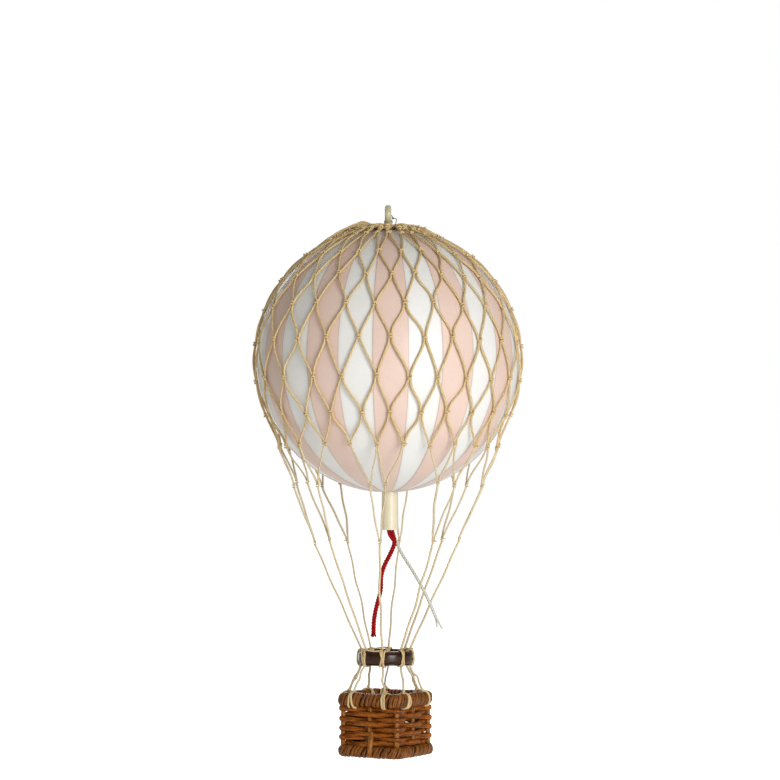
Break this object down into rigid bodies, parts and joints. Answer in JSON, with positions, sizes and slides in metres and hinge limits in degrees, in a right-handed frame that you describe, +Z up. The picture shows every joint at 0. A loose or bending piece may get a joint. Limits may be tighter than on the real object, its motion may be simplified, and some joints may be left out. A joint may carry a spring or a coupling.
{
  "type": "hanging hot-air balloon ornament",
  "caption": "Hanging ornament shaped like a hot-air balloon: striped paper-covered ball in a knotted twine net, load ring and square wicker basket on gathered lines.",
  "frame": {"origin": "centre of the hole in the hanger eye at the crown", "axes": "+Z up along the hanging line, X and Y along the sides of the square basket"},
  "size_m": [0.0728, 0.0726, 0.1473],
  "materials": {
    "cream_plastic": "moulded cream plastic",
    "spring_steel": "pressed spring steel",
    "tie_thread": "thin cotton thread",
    "ball_plastic": "moulded white plastic",
    "pink_paper": "varnished printed paper",
    "white_paper": "varnished printed paper",
    "tube_plastic": "moulded cream plastic",
    "plug_cork": "soft stopper",
    "red_cotton": "twisted cotton cord",
    "white_cotton": "twisted cotton cord",
    "straw_twine": "twisted cotton twine",
    "dark_wood": "dark stained turned wood",
    "rattan_border": "wrapped rattan",
    "rattan_stake": "rattan cane",
    "rattan_weaver": "rattan cane",
    "rattan_base": "split rattan"
  },
  "bodies": {
    "balloon": {"hanger_eye": "cream_plastic", "push_nut": "spring_steel", "crown_tie": "tie_thread", "upper_shell": "ball_plastic", "lower_shell": "ball_plastic", "gores_pink": "pink_paper", "gores_white": "white_paper", "neck_tube": "tube_plastic", "cord_plug": "plug_cork", "red_cord": "red_cotton", "white_cord": "white_cotton"},
    "net": {"net_crown": "straw_twine", "net_row_2": "straw_twine", "net_row_3": "straw_twine", "net_row_4": "straw_twine", "net_row_5": "straw_twine", "net_row_6": "straw_twine", "net_row_7": "straw_twine", "net_hem": "straw_twine", "gather_lines_upper": "straw_twine", "gather_lines_lower": "straw_twine", "ring_lines": "straw_twine"},
    "load_ring": {"load_ring": "dark_wood", "ring_lashings": "straw_twine"},
    "basket": {"basket_lines": "straw_twine", "rim_ties": "straw_twine", "top_border": "rattan_border", "bottom_border": "rattan_border", "stakes": "rattan_stake", "weaver_1": "rattan_weaver", "weaver_2": "rattan_weaver", "weaver_3": "rattan_weaver", "weaver_4": "rattan_weaver", "weaver_5": "rattan_weaver", "weaver_6": "rattan_weaver", "weaver_7": "rattan_weaver", "weaver_8": "rattan_weaver", "basket_base": "rattan_base"}
  },
  "joints": [
    {"name": "net_turn", "type": "hinge", "parent": "balloon", "child": "net", "pos_m": [0, 0, -0.0394], "axis": [0, 0, 1], "range_deg": [-10, 10]},
    {"name": "ring_sway", "type": "hinge", "parent": "net", "child": "load_ring", "pos_m": [0, 0, -0.0394], "axis": [0, 1, 0], "range_deg": [-6, 6], "deforming": ["net_hem", "gather_lines_upper", "gather_lines_lower", "ring_lines"]},
    {"name": "basket_rock", "type": "hinge", "parent": "load_ring", "child": "basket", "pos_m": [-0.00055, -0.00032, -0.1187], "axis": [1, 0, 0], "range_deg": [-8, 8], "deforming": ["basket_lines"]}
  ]
}
